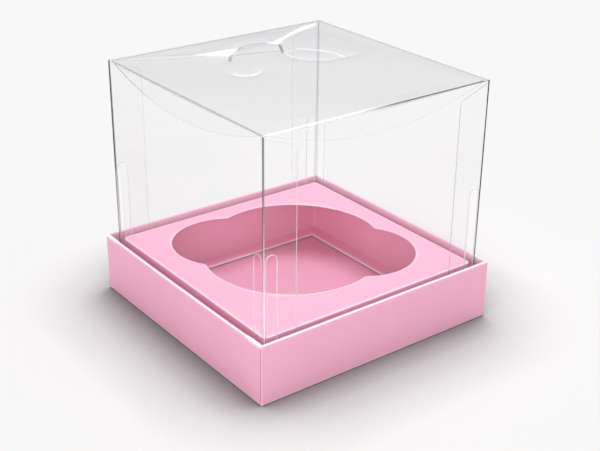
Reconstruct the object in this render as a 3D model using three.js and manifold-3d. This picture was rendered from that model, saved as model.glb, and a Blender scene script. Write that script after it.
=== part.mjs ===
// Cupcake box: a folded pink card tray, a clear hinged-lid box standing in it, and a card insert inside.
// Millimetres, +Z up. The origin is the centre of the tray's underside.
// The wall on the -X side faces the viewer's left, the wall on the -Y side faces the viewer's right.

import * as THREE from 'three'
import { mergeVertices } from 'three/addons/utils/BufferGeometryUtils.js'
import Module from 'manifold-3d'

const wasm = await Module()
wasm.setup()

// Sheet thicknesses and the clearances between pieces.
const card = 0.6
const film = 0.3
const seatGap = 0.3
const hingeGap = 0.3
const sideGap = 0.3
const boxClearance = 3.7
const insertClearance = 1.5

// Tray: a floor and four walls, each rolled over at the rim into a second, inner panel.
const trayWidth = 170
const trayHeight = 38
const panelGap = 0.8
const innerPanelLift = 0.4
const trayCornerRadius = 0.8
const seamWidth = 0.3
const seamDepth = 0.3
const tabLength = 9
const tabThickness = 0.2
const tabStartAngle = Math.PI / 5

// Clear box: a bottom and four walls of one folded film sheet, with a glued flap behind each corner.
const boxTop = 153
const cornerFlapWidth = 22
const cornerFlapDrop = 8
const cornerFlapStart = 1
const cornerFlapRounding = 2

// Round-ended slots on both sides of each upright edge of the clear box.
const slotWidth = 7
const slotTop = 86.4
const slotBottom = 6
const slotInset = 1.8

// Lid: a panel folded off the +X wall, with a curved tuck flap on each of its three free sides.
const tuckDepth = 14.5
const tuckEndInset = 2
const tuckClearance = 0.9
const rearFlapLean = 72

// Insert: a platform with a lobed hole, four skirts, and a flange folded inward at each skirt's foot.
const insertTop = 36.8
const insertFoldRadius = 1
const insertCornerRadius = 3
const flangeWidth = 11

// Lobed hole: two large circles on one diagonal, two smaller ones on the other.
const holeCentre = new THREE.Vector2(3, 4.5)
const largeLobeRadius = 54.5
const largeLobeOffset = 6.5
const smallLobeRadius = 34.5
const smallLobeOffset = 30

const foldSteps = 8
const roundSteps = 24
const lobeSteps = 96
const arcSteps = 40

// Corners this close are one corner. Cutters reach past what they cut. Glued layers share a little depth.
const weldDistance = 1e-4
const cutMargin = 1
const glueDepth = 0.05

// Heights and half-widths that follow from the sizes above.
const trayHalf = trayWidth / 2
const rimWidth = 2 * card + panelGap
const boxHalf = trayHalf - rimWidth - boxClearance
const boxFloor = card + seatGap
const insertFloor = boxFloor + film + seatGap
const boxInside = boxHalf - film
const insertHalf = boxInside - insertClearance
const flapInside = boxInside - film
const lidUnderside = boxTop - film
const hingeWallTop = lidUnderside - hingeGap

// A closed mesh as a solid: only positions are kept, and shared corners are merged.
function solid(geometry) {
  const bare = geometry.clone()
  for (const name of Object.keys(bare.attributes)) {
    if (name !== 'position') {
      bare.deleteAttribute(name)
    }
  }
  const merged = mergeVertices(bare, weldDistance)
  return new wasm.Manifold(new wasm.Mesh({
    numProp: 3,
    vertProperties: new Float32Array(merged.attributes.position.array),
    triVerts: new Uint32Array(merged.index.array),
  }))
}

function geometryOf(manifold) {
  const mesh = manifold.getMesh()
  const geometry = new THREE.BufferGeometry()
  geometry.setAttribute('position', new THREE.BufferAttribute(new Float32Array(mesh.vertProperties), 3))
  geometry.setIndex(new THREE.BufferAttribute(new Uint32Array(mesh.triVerts), 1))
  geometry.computeVertexNormals()
  return geometry
}

function block(low, high) {
  const size = high.map((value, axis) => value - low[axis])
  const middle = high.map((value, axis) => (value + low[axis]) / 2)
  return solid(new THREE.BoxGeometry(...size).translate(...middle))
}

// A section drawn anticlockwise as (half-width, height) and carried round a square, with mitred corners.
function squareRing(section) {
  const points = section.map(([half, height]) => new THREE.Vector2(half * Math.SQRT2, height))
  points.push(points[0].clone())
  const ring = new THREE.LatheGeometry(points, 4, Math.PI / 4)
  return solid(ring.rotateX(Math.PI / 2))
}

function arcPoints(centre, radius, from, to, steps) {
  const points = []
  for (let i = 0; i <= steps; i += 1) {
    const angle = from + (to - from) * i / steps
    points.push([centre[0] + radius * Math.cos(angle), centre[1] + radius * Math.sin(angle)])
  }
  return points
}

// An upright prism over a square with rounded corners.
function roundedSquare(half, radius, low, high) {
  const inner = half - radius
  const outline = []
  for (let corner = 0; corner < 4; corner += 1) {
    const from = corner * Math.PI / 2
    const centre = new THREE.Vector2(inner, inner).rotateAround(new THREE.Vector2(), from)
    outline.push(...arcPoints(centre.toArray(), radius, from, from + Math.PI / 2, foldSteps))
  }
  return prism(outline, low, high)
}

function prism(outline, low, high) {
  const shape = new THREE.Shape(outline.map(([x, y]) => new THREE.Vector2(x, y)))
  const geometry = new THREE.ExtrudeGeometry(shape, { depth: high - low, bevelEnabled: false })
  return solid(geometry.translate(0, 0, low))
}

// A flat plate drawn as (along, height), standing on the wall that faces the given quarter turn.
// Quarter 0 is the -Y wall, 1 the +X wall, 2 the +Y wall and 3 the -X wall.
function wallPlate(outline, outside, thickness, quarter) {
  const shape = new THREE.Shape(outline.map(([along, height]) => new THREE.Vector2(along, height)))
  const plate = new THREE.ExtrudeGeometry(shape, { depth: thickness, bevelEnabled: false })
  plate.rotateX(Math.PI / 2)
  plate.translate(0, thickness - outside, 0)
  plate.rotateZ(quarter * Math.PI / 2)
  return solid(plate)
}

function tray() {
  const outerRadius = rimWidth / 2
  const innerRadius = panelGap / 2
  const rimCentre = [trayHalf - outerRadius, trayHeight - outerRadius]
  const section = [
    [0, 0],
    [trayHalf, 0],
    ...arcPoints(rimCentre, outerRadius, 0, Math.PI, foldSteps),
    [trayHalf - rimWidth, card + innerPanelLift],
    [trayHalf - rimWidth + card, card + innerPanelLift],
    ...arcPoints(rimCentre, innerRadius, Math.PI, 0, foldSteps),
    [trayHalf - card, card],
    [0, card],
  ]
  let body = squareRing(section)
  body = body.intersect(roundedSquare(trayHalf, trayCornerRadius, -cutMargin, trayHeight + cutMargin))
  for (const side of [-1, 1]) {
    for (const end of [-1, 1]) {
      body = body.add(cornerTab(side, end))
      body = body.subtract(cornerSeam(side, end))
    }
  }
  return body
}

// The extra layer that a corner tab leaves on the rim of the -X and +X walls, next to each corner.
function cornerTab(side, end) {
  const middle = rimWidth / 2
  const centre = [0, trayHeight - middle]
  const over = arcPoints(centre, middle + tabThickness, tabStartAngle, Math.PI - tabStartAngle, foldSteps)
  const under = arcPoints(centre, middle - tabThickness, Math.PI - tabStartAngle, tabStartAngle, foldSteps)
  const shape = new THREE.Shape([...over, ...under].map(([x, y]) => new THREE.Vector2(x, y)))
  const layer = new THREE.ExtrudeGeometry(shape, { depth: tabLength, bevelEnabled: false })
  layer.rotateX(Math.PI / 2)
  const start = end > 0 ? trayHalf - trayCornerRadius : tabLength - trayHalf + trayCornerRadius
  layer.translate(side * (trayHalf - middle), start, 0)
  return solid(layer)
}

// The thin groove in the -X and +X faces where one wall's cut edge meets the next, beside each corner.
function cornerSeam(side, end) {
  const groove = block(
    [trayHalf - seamDepth, trayHalf - trayCornerRadius - seamWidth, -cutMargin],
    [trayHalf + cutMargin, trayHalf - trayCornerRadius, trayHeight - rimWidth],
  )
  return groove.scale([side, end, 1])
}

function clearBox() {
  let body = squareRing([
    [0, boxFloor],
    [boxHalf, boxFloor],
    [boxHalf, boxTop],
    [boxInside, boxTop],
    [boxInside, boxFloor + film],
    [0, boxFloor + film],
  ])
  for (const quarter of [0, 2]) {
    for (const end of [-1, 1]) {
      const flap = wallPlate(cornerFlapOutline(end), boxInside + glueDepth, film + glueDepth, quarter)
      body = body.add(flap)
    }
  }
  for (let quarter = 0; quarter < 4; quarter += 1) {
    for (const end of [-1, 1]) {
      const cutter = wallPlate(slotOutline(end), boxHalf + cutMargin, 2 * (film + cutMargin), quarter)
      body = body.subtract(cutter)
    }
  }
  const hingeEdge = block(
    [boxInside - cutMargin, -boxHalf - cutMargin, hingeWallTop],
    [boxHalf + cutMargin, boxHalf + cutMargin, boxTop + cutMargin],
  )
  return body.subtract(hingeEdge)
}

// The glued flap behind a corner: full height, its top sloping down towards its free edge.
function cornerFlapOutline(end) {
  const corner = boxInside - film / 2
  const free = boxHalf - cornerFlapWidth
  const foot = boxFloor + film + seatGap
  const top = boxTop - cornerFlapStart
  const freeTop = top - cornerFlapDrop
  const outline = [
    [end * corner, foot],
    [end * corner, top],
    [end * (free + cornerFlapRounding), freeTop],
    [end * free, freeTop - cornerFlapRounding],
    [end * free, foot],
  ]
  return end > 0 ? outline.reverse() : outline
}

// One round-ended slot beside the upright edge at the given end of a wall.
function slotOutline(end) {
  const radius = slotWidth / 2
  const middle = end * (boxHalf - slotInset - radius)
  return [
    ...arcPoints([middle, slotTop - radius], radius, 0, Math.PI, roundSteps),
    ...arcPoints([middle, slotBottom + radius], radius, Math.PI, 2 * Math.PI, roundSteps),
  ]
}

// The free edge of a tuck flap: a shallow arc from one end of its fold to the other.
function tuckOutline(from, to, foldHeight) {
  const half = (to - from) / 2
  const middle = (to + from) / 2
  const radius = (half * half + tuckDepth * tuckDepth) / (2 * tuckDepth)
  const centre = [middle, foldHeight - tuckDepth + radius]
  const spread = Math.asin(half / radius)
  return arcPoints(centre, radius, -Math.PI / 2 - spread, -Math.PI / 2 + spread, arcSteps)
}

function lid() {
  const sideFold = flapInside - sideGap
  const frontFold = boxInside - tuckClearance
  const foldHeight = boxTop - film / 2
  const panel = block([-frontFold, -sideFold, lidUnderside], [boxHalf, sideFold, boxTop])
  const frontReach = sideFold - tuckEndInset
  const front = wallPlate(tuckOutline(-frontReach, frontReach, foldHeight), frontFold, film, 3)
  const sideLow = tuckEndInset - frontFold
  const sideHigh = boxHalf - 2 * tuckEndInset
  const near = wallPlate(tuckOutline(sideLow, sideHigh, foldHeight), sideFold, film, 0)
  return panel.add(front).add(near).add(leaningFlap(sideLow, sideHigh, sideFold, foldHeight))
}

// The tuck flap on the +Y side, which springs inward and leans under the lid.
function leaningFlap(from, to, fold, foldHeight) {
  const outline = tuckOutline(from, to, 0).map(([along, height]) => new THREE.Vector2(along, height))
  const plate = new THREE.ExtrudeGeometry(new THREE.Shape(outline), { depth: film, bevelEnabled: false })
  plate.rotateX(Math.PI / 2)
  plate.translate(0, film / 2, 0)
  plate.rotateX(-THREE.MathUtils.degToRad(rearFlapLean))
  plate.translate(0, fold - film / 2, foldHeight)
  return solid(plate)
}

function insert() {
  const r = insertFoldRadius
  const inner = r - card
  const topCentre = [insertHalf - r, insertTop - r]
  const footCentre = [insertHalf - r, insertFloor + r]
  const section = [
    [0, insertTop - card],
    ...arcPoints(topCentre, inner, Math.PI / 2, 0, foldSteps),
    ...arcPoints(footCentre, inner, 0, -Math.PI / 2, foldSteps),
    [insertHalf - flangeWidth, insertFloor + card],
    [insertHalf - flangeWidth, insertFloor],
    ...arcPoints(footCentre, r, -Math.PI / 2, 0, foldSteps),
    ...arcPoints(topCentre, r, 0, Math.PI / 2, foldSteps),
    [0, insertTop],
  ]
  let body = squareRing(section)
  body = body.intersect(roundedSquare(insertHalf, insertCornerRadius, 0, insertTop + cutMargin))
  for (const cutter of holeLobes()) {
    body = body.subtract(cutter)
  }
  return body
}

function holeLobes() {
  const cutters = []
  for (const side of [-1, 1]) {
    cutters.push(lobe(side * largeLobeOffset, side * largeLobeOffset, largeLobeRadius))
    cutters.push(lobe(side * smallLobeOffset, -side * smallLobeOffset, smallLobeRadius))
  }
  return cutters
}

function lobe(x, y, radius) {
  const outline = arcPoints([holeCentre.x + x, holeCentre.y + y], radius, 0, 2 * Math.PI, lobeSteps)
  outline.pop()
  return prism(outline, insertTop - card - cutMargin, insertTop + cutMargin)
}

function named(name, manifold, colour, roughness, extra = {}) {
  const material = new THREE.MeshStandardMaterial({ color: colour, roughness, metalness: 0, ...extra })
  const mesh = new THREE.Mesh(geometryOf(manifold), material)
  mesh.name = name
  return mesh
}

const pink = 0xf4b0ca
const clear = { transparent: true, opacity: 0.25 }

const group = new THREE.Group()
group.add(named('tray', tray(), pink, 0.6))
group.add(named('insert', insert(), pink, 0.6))
group.add(named('clear_box', clearBox(), 0xe6ecf2, 0.08, clear))
group.add(named('clear_lid', lid(), 0xe6ecf2, 0.08, clear))

export default group
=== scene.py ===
"""The looks of a cupcake box: a folded pink card tray, a card insert and a clear box with a hinged lid.

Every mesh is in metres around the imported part. Sizes in this file are written in millimetres and turned
into metres as a mesh is made.
"""

import math

import bpy
import numpy as np
from mathutils import Matrix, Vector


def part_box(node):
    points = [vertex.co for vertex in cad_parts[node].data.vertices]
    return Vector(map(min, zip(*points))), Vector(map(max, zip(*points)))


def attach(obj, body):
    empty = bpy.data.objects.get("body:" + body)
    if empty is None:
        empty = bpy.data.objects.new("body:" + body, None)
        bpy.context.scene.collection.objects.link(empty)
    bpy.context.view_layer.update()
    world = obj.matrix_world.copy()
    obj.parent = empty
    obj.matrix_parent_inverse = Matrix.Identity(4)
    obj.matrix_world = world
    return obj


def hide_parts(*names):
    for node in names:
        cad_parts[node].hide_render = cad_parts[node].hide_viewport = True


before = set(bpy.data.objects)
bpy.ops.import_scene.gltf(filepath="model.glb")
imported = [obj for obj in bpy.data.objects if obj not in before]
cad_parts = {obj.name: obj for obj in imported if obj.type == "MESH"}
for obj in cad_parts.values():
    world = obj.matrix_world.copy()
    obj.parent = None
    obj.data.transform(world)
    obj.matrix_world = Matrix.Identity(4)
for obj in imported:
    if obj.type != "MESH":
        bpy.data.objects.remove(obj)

bl_info = {
    "name": "Cupcake Box",
    "version": (1, 0, 0),
    "blender": (4, 5, 0),
    "location": "View3D > Sidebar > Cupcake Box",
    "description": "Card tray, lobed card insert and clear folded box with a hinged tuck-in lid",
    "category": "Object",
}

MM = 0.001
CARD_SHARP, FILM_SHARP = 50, 60  # degrees by which an edge bends to count as a cut, not a fold


def node_size(name):
    """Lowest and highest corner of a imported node, in millimetres."""
    low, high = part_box(name)
    return np.array(low) / MM, np.array(high) / MM


BOX_LOW, BOX_HIGH = node_size("clear_box")
INSERT_LOW, INSERT_HIGH = node_size("insert")
LID_HIGH = node_size("clear_lid")[1]

# Tray, in millimetres.
TRAY_HALF = 85.0
TRAY_HEIGHT = 38.0
TRAY_CARD = 0.6
PANEL_GAP = 0.8
PANEL_LIFT = 0.4
TRAY_CORNER = 0.8
FOOT_FOLD = 0.9
FLOOR_RINGS = (60.0, 72.0)
FOLD_SPACE = 3.0  # left free at a wall's foot, and at the outer wall's top, for the fold
RIM_SPACE = 4.0  # the same at the top of the inner walls
SEAM_WIDTH = 0.3
SEAM_DEPTH = 0.3
TAB_LENGTH = 9.0
TAB_THICKNESS = 0.2
BOWS = (((-1, 0), 1.0), ((0, -1), -0.25), ((0, 1), 0.5))  # a side and its share of the rim's bow
RIPPLE = 0.06
OUTER_WALL, RIM, FLOOR_TOP = 2, 3, 10  # places in tray_section's list of rows
# how much paler the card turns at the foot fold, on the inner panel as painted light in the gap, and on the
# corner tabs
FOOT_WEAR, PANEL_PAINTED_LIGHT, TAB_WEAR = 0.35, 0.3, 0.5
SEAM_LINE, FLOOR_PAINTED_SHADE = 0.85, 0.12  # how dark the side seams are, and the painted shade over the tray's floor inside

# Clear box and its slots.
BOX_HALF = BOX_HIGH[1]
BOX_FLOOR = BOX_LOW[2]
BOX_TOP = LID_HIGH[2]
HINGE_TOP = BOX_TOP - 0.6
WALL_FOLD = 0.8
FLOOR_INSET = 12.0
SLOT_INNER = BOX_HALF - 8.8
SLOT_OUTER = BOX_HALF - 1.8
SLOT_RADIUS = 3.5
SLOT_TOP = 86.4
SLOT_BOTTOM = 6.0
FLAP_WIDTH = 22.0
FLAP_DROP = 8.0
FLAP_START = 1.0
FLAP_NOSE = 2.0
FLAP_INSET = 0.7
FLAP_GAP = 0.05
FLAP_LIFT = 0.6
WAVE_PHASE = 1.7  # from wall to wall
WAVE_RISE = 30.0  # height by which a wall's waves have grown to their full size
WAVE_END = BOX_TOP - 12.0  # height where they have died out

# Lid and its tuck flaps.
LID_SIDE = 78.4
LID_FRONT = 78.1
LID_FOLD = 0.5
HINGE_FOLD = 0.4
LID_COLUMNS = 181
TUCK_DEPTH = 14.5
TUCK_INSET = 2.0
TUCK_TURN = 91.0
REAR_TURN = 162.0
BEND_ROWS = 7
HINGE_ROWS = 6

# Insert and its lobed hole.
INSERT_HALF = INSERT_HIGH[1]
INSERT_TOP = INSERT_HIGH[2]
INSERT_FLOOR = INSERT_LOW[2]
INSERT_FOLD = 1.0
INSERT_CORNER = 3.0
FLANGE_WIDTH = 11.0
PLATFORM_ROWS = 12
HOLE_CENTRE = np.array([3.0, 4.5])
LOBES = (((6.5, 6.5), 54.5), ((-6.5, -6.5), 54.5), ((30.0, -30.0), 34.5), ((-30.0, 30.0), 34.5))

# Painted highlight and painted shade on the film's upright folds, for the right, back, left and front one of
# the first view. Each is (gleam, its place, shade, its place, its width, shade beside the fold), in shares of
# the fold's arc.
FOLD_PAINTED_LIGHT = np.array(((0.15, 0.05, 1.0, 0.5, 0.9, 0.95), (0.0, 0.5, 0.35, 0.5, 0.3, 0.05),
                       (0.15, 0.95, 1.0, 0.5, 0.9, 0.95), (1.0, 0.65, 0.45, 0.15, 0.12, 0.0)))
FOLD_GLEAM_WIDTH = 0.24
SHADE_HEIGHTS = (45, 100)  # between these the upright folds' painted shade grows
TURN_HEIGHTS = (50, 130)  # and between these the near fold turns from painted highlight to painted shade
FOLD_BAND = 0.9  # beside an upright fold, the width of the wall that shares its painted highlight and shade
EDGE_BAND = 0.45  # along a cut edge, the same
SLOT_ROWS = (4, 18)  # rows of slot_heights where the slots start and end
# strength of the painted highlight along the slots' cut edges
SLOT_GLEAM = 0.7
# strength of the painted reflection inside the lid's slivers
SLIVER_GLEAM = 0.68
# Painted highlight (gleam) and painted shade on a corner flap's free edges, by the quarter and the end of its
# wall.
FLAP_EDGES = {(0, 1): (0.35, 0.85), (0, -1): (0.8, 0.1), (2, 1): (0.1, 0.12), (2, -1): (0.1, 0.12)}
SIDE_SHARE = 0.9  # of each quarter turn of a square path: the straight side, and the rest is the corner

# Materials. A colour is (red, green, blue, 1).
COLOUR, VALUE = "NodeSocketColor", "NodeSocketFloat"
WHITE = (1.0, 1.0, 1.0, 1.0)
SEAM_AND_SHADE_COLOUR = (0.34, 0.09, 0.16, 1)
# near-black of the painted shade that stands for the film's refraction at its folds and cut edges
PAINTED_SHADE_COLOUR = (0.05, 0.06, 0.12, 1)
FACE_GRAIN = (0.25, 0.06)  # strength of the bump and of the fibres on the card's face
CUT_GRAIN = (0.6, 0.14)  # and on its cut edge
EDGE_POWER = 6.1
FACES_MIRROR = 0.5  # times one face's Fresnel share: what a sheet's two faces mirror together
CUT_SHARE = 0.6  # of the film's cut edge: how much is seen of its surface, not through it

# Stage, with the camera in millimetres and degrees and the rest in metres.
CAMERA_PLACE = (-382.6, -506.8, 352.3)
CAMERA_YAW, CAMERA_PITCH, CAMERA_ROLL = 37.40, 25.23, 0.657
BACKGROUND = (0.9473, 0.9387, 0.9387, 1.0)
HORIZON = (0.80, 0.80, 0.82, 1)
FLOOR_HALF = 4.0
TONE_START, TONE_END = 0.15, 0.27  # distance over which the floor turns into the even background
# reach and power of the painted contact shadow on the floor
CONTACT_REACH, CONTACT_POWER = 0.065, 1.5
LAMP_AIM = np.array([0, 0, 0.05])
KEY_PLACE, KEY_SIZE = np.array([0.27, 0.13, 1.2]), 0.8
FILL_PLACE, FILL_SIZE = np.array([-0.95, -0.85, 0.35]), 1.0


# ---- Shapes ----


def square_path(turns):
    """Corner centres c and outward directions o round a square, for places counted in quarter turns.

    Quarter 0 runs along the -Y side from -X to +X. In its first SIDE_SHARE, c slides from (-1, -1) to
    (1, -1) and o is (0, -1). In the rest c stays and o turns to (1, 0). Later quarters are turned copies.
    """
    quarter = np.floor(turns)
    share = turns - quarter
    along = np.clip(share / SIDE_SHARE, 0, 1) * 2 - 1
    arc = np.clip((share - SIDE_SHARE) / (1 - SIDE_SHARE), 0, 1) * np.pi / 2
    centre = np.stack([along, -np.ones_like(along)], -1)
    out = np.stack([np.sin(arc), -np.cos(arc)], -1)
    cos, sin = np.cos(quarter * np.pi / 2), np.sin(quarter * np.pi / 2)
    turn = np.stack([np.stack([cos, -sin], -1), np.stack([sin, cos], -1)], -2)
    return np.einsum("nij,nj->ni", turn, centre), np.einsum("nij,nj->ni", turn, out)


def carry(section, turns, radius):
    """A section carried round a square, as rows by columns of points.

    A section point (half, height) whose corner radius is r stands at (half - r) c + r o, at its height.
    """
    centre, out = square_path(turns)
    half, height = np.asarray(section, float).T
    radius = np.broadcast_to(radius, half.shape)
    xy = (half - radius)[:, None, None] * centre + radius[:, None, None] * out
    z = np.broadcast_to(height[:, None, None], xy.shape[:2] + (1,))
    return np.concatenate([xy, z], -1)


def all_turns(along, half, fold, steps):
    """Places round a square with its folds, from distances along one side and even steps round a corner.

    Also gives each one's distance along its side, which on a corner is the square's half width.
    """
    corner = np.linspace(SIDE_SHARE, 1, steps + 1)[1:-1]
    one = np.concatenate([SIDE_SHARE * (along / (half - fold) + 1) / 2, corner])
    turns = np.concatenate([one + quarter for quarter in range(4)])
    return turns, np.tile(np.concatenate([along, np.full(len(corner), half)]), 4)


def arc(centre, radius, start, end, steps):
    """Points centre + radius (cos a, sin a) for angles a from start to end, in radians."""
    a = np.linspace(start, end, steps + 1)
    return np.stack([centre[0] + radius * np.cos(a), centre[1] + radius * np.sin(a)], -1)


def spread(*stops):
    """Values from stop to stop, each stop given as (value, or a row of values, and steps to the next)."""
    parts = [np.linspace(a, b, n, endpoint=False) for (a, n), (b, _) in zip(stops, stops[1:])]
    return np.concatenate(parts + [[stops[-1][0]]])


def grid_faces(rows, columns, closed=False):
    """Quads of a grid, turned so that their normal is column direction times row direction."""
    i = np.arange(rows - 1)[:, None]
    j = np.arange(columns if closed else columns - 1)[None, :]
    k = (j + 1) % columns
    quads = np.stack([i * columns + j, i * columns + k, (i + 1) * columns + k, (i + 1) * columns + j], -1)
    return quads.reshape(-1, 4)


def smooth(x, low, high):
    """0 below low, 1 above high, and 3t^2 - 2t^3 of the share t between them."""
    t = np.clip((x - low) / (high - low), 0, 1)
    return t * t * (3 - 2 * t)


def bump_at(x, middle, width):
    """A bell over x: exp(-((x - middle) / width)^2)."""
    return np.exp(-((x - middle) / width) ** 2)


def joined(parts):
    """Several (points, faces, gleam, shade) as one sheet. Corners equal to 0.1 micron are one corner."""
    sizes = [part[0].reshape(-1, 3).shape[0] for part in parts]
    starts = np.concatenate([[0], np.cumsum(sizes)[:-1]])
    points = np.concatenate([part[0].reshape(-1, 3) for part in parts])
    faces = np.concatenate([part[1] + start for part, start in zip(parts, starts)])
    _, first, place = np.unique(np.round(points / 1e-4).astype(np.int64), axis=0, return_index=True,
                                return_inverse=True)
    place = place.reshape(-1)
    values = {}
    for label, at in (("gleam", 2), ("shade", 3)):
        most = np.zeros(len(first))
        np.maximum.at(most, place, np.concatenate([np.ravel(part[at]) for part in parts]))
        values[label] = np.clip(most, 0, 1)
    return points[first], place[faces], values


def mesh_piece(name, points, quads, caps=(), values=None):
    """A mesh object at the origin from points in millimetres, quads, many-sided caps and point values."""
    mesh = bpy.data.meshes.new(name)
    faces = quads.tolist() + [list(map(int, cap)) for cap in caps]
    mesh.from_pydata((points.reshape(-1, 3) * MM).tolist(), [], faces)
    for label, value in (values or {}).items():
        layer = mesh.attributes.new(label, "FLOAT", "POINT")
        layer.data.foreach_set("value", np.asarray(value, np.float32).reshape(-1))
    mesh.shade_smooth()
    mesh.validate()
    piece = bpy.data.objects.new(name, mesh)
    bpy.context.scene.collection.objects.link(piece)
    return piece


def sharpen(piece, degrees):
    """Marks the edges that bend by more than the angle, so that folds stay round and cuts stay sharp."""
    piece.data.set_sharp_from_angle(angle=math.radians(degrees))


def thicken(piece, thickness):
    """Gives a sheet its thickness, inward from the face that was made, with the cut edge as material 2."""
    solidify = piece.modifiers.new("sheet thickness", "SOLIDIFY")
    solidify.thickness = thickness * MM
    solidify.offset = -1
    solidify.use_even_offset = False
    solidify.material_offset_rim = 1


def finish_piece(piece, body, nodes, materials):
    """Gives a piece its materials and says which body it rides on and which nodes it stands for."""
    for material in materials:
        piece.data.materials.append(material)
    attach(piece, body)
    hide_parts(*nodes)


# ---- Materials ----


def add(tree, kind, place=(0, 0), label="", inputs=None, **values):
    """A node with its settings and inputs by name, with underscores for spaces, or its inputs by number.

    An input is given a value, a socket to link, or a node, which stands for its first output.
    """
    made = tree.nodes.new(kind)
    made.location = place
    made.label = label
    for key, value in {**values, **(inputs or {})}.items():
        if isinstance(key, str) and hasattr(made, key):
            setattr(made, key, value)
            continue
        socket = made.inputs[key.replace("_", " ") if isinstance(key, str) else key]
        if isinstance(value, bpy.types.Node):
            value = value.outputs[0]
        if isinstance(value, bpy.types.NodeSocket):
            tree.links.new(value, socket)
        else:
            socket.default_value = value
    return made


def maths(tree, operation, place, *terms, **values):
    """A math node on its terms, in their order."""
    return add(tree, "ShaderNodeMath", place, inputs=dict(enumerate(terms)), operation=operation, **values)


def map_range(tree, place, value, low, high, **values):
    """A value from low..high taken to 0..1, or to the range that is given."""
    return add(tree, "ShaderNodeMapRange", place, Value=value, From_Min=low, From_Max=high, **values)


def mixed_colour(tree, place, label, share, first, second):
    """The first colour, turning into the second by the share."""
    mix = add(tree, "ShaderNodeMix", place, label, {0: share, 6: first, 7: second}, data_type="RGBA")
    return mix.outputs[2]


def mixed_shader(tree, place, share, first, second):
    """The first shader, turning into the second by the share."""
    return add(tree, "ShaderNodeMixShader", place, inputs={0: share, 1: first, 2: second})


def place_in_object(tree, place):
    """The shaded point in its object's own coordinates."""
    return add(tree, "ShaderNodeTexCoord", place).outputs["Object"]


def mesh_value(tree, name, place):
    """The value that the mesh carries under a name."""
    return add(tree, "ShaderNodeAttribute", place, attribute_name=name).outputs["Fac"]


def colour(value):
    """A property's colour as four numbers."""
    return (*value[:3], 1.0)


def shared(kept, name, make, *settings):
    """What is kept under a name, such as a material: made once, and used wherever it is asked for."""
    return kept.get(name) or make(name, *settings)


def group_tree(name, inputs, outputs):
    """A new shader node group with its sockets, and what its group input node gives."""
    tree = bpy.data.node_groups.new(name, "ShaderNodeTree")
    for label, kind, default in inputs:
        socket = tree.interface.new_socket(label, in_out="INPUT", socket_type=kind)
        socket.default_value = default
    for label, kind in outputs:
        tree.interface.new_socket(label, in_out="OUTPUT", socket_type=kind)
    return tree, add(tree, "NodeGroupInput", (-900, 0)).outputs


def card_grain(name):
    """Group: card's fibre grain. Colour with mottling and fibres, roughness, and a height for a bump.

    Mottling is a slow noise and fibres a fine noise drawn out along X. The colour is multiplied by
    1 + share (noise - 0.5) for each. The mask turns the card paler: worn folds, and painted light.
    """
    tree, given = group_tree(
        name,
        [("Colour", COLOUR, (0.9, 0.5, 0.6, 1)), ("Worn colour", COLOUR, (1, 0.8, 0.9, 1)),
         ("Wear", VALUE, 0.0), ("Mottling", VALUE, 0.05), ("Fibres", VALUE, 0.06)],
        [("Colour", COLOUR), ("Roughness", VALUE), ("Height", VALUE)],
    )
    point = place_in_object(tree, (-900, 300))
    drawn = add(tree, "ShaderNodeMapping", (-700, 100), Vector=point, Scale=(0.35, 1.0, 1.0))
    slow = add(tree, "ShaderNodeTexNoise", (-500, 400), "mottling", Vector=point, Scale=55.0, Detail=3.0)
    fine = add(tree, "ShaderNodeTexNoise", (-500, 100), "fibres", Vector=drawn, Scale=2600.0, Detail=2.0)

    def varied(noise, share, y):
        from_middle = maths(tree, "SUBTRACT", (-300, y), noise, 0.5)
        return maths(tree, "MULTIPLY_ADD", (-140, y), from_middle, given[share], 1.0)

    both = maths(tree, "MULTIPLY", (20, 250), varied(slow, "Mottling", 400), varied(fine, "Fibres", 150))
    # mixes in the paler colour by the mask: worn folds, and painted light
    worn = mixed_colour(tree, (20, 0), "worn folds and painted light", given["Wear"], given["Colour"], given["Worn colour"])
    tinted = add(tree, "ShaderNodeVectorMath", (220, 150), inputs={0: worn}, operation="SCALE", Scale=both)
    rough = map_range(tree, (220, -100), fine, 0.3, 0.7, To_Min=0.48, To_Max=0.62)
    add(tree, "NodeGroupOutput", (700, 0), Colour=tinted, Roughness=rough, Height=fine)
    return tree


def film_surface(name):
    """Group: clear film's surface. Its tint, its scuffs, and a height for the sheet's waves.

    The tint goes from the clear colour to the edge colour by the edge share, and on to the dark of painted
    shade by the shade. Scuffs are a stretched noise above a threshold, and the height is a slow noise.
    """
    tree, given = group_tree(
        name,
        [("Clear colour", COLOUR, (0.98, 0.98, 0.99, 1)), ("Edge colour", COLOUR, (0.3, 0.35, 0.45, 1)),
         ("Edge share", VALUE, 0.0), ("Shade", VALUE, 0.0)],
        [("Colour", COLOUR), ("Haze", VALUE), ("Height", VALUE)],
    )
    point = place_in_object(tree, (-900, 300))
    waves = add(tree, "ShaderNodeTexNoise", (-600, 300), "waves", Vector=point, Scale=28.0, Detail=1.0)
    drawn = add(tree, "ShaderNodeMapping", (-700, 0), Vector=point, Scale=(1, 0.2, 1), Rotation=(0, 0, 0.6))
    scuffs = add(tree, "ShaderNodeTexNoise", (-500, 0), "scuffs", Vector=drawn, Scale=420.0, Detail=4.0)
    haze = map_range(tree, (-300, 0), scuffs, 0.56, 0.8)
    tint = mixed_colour(tree, (-100, 200), "edge on", given["Edge share"], given["Clear colour"],
                        given["Edge colour"])
    creased = mixed_colour(tree, (100, 200), "creased", given["Shade"], tint, PAINTED_SHADE_COLOUR)
    add(tree, "NodeGroupOutput", (700, 0), Colour=creased, Haze=haze, Height=waves)
    return tree


def new_material(name):
    """An empty node material and its tree."""
    material = bpy.data.materials.new(name)
    material.use_nodes = True
    material.node_tree.nodes.clear()
    return material, material.node_tree


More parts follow.
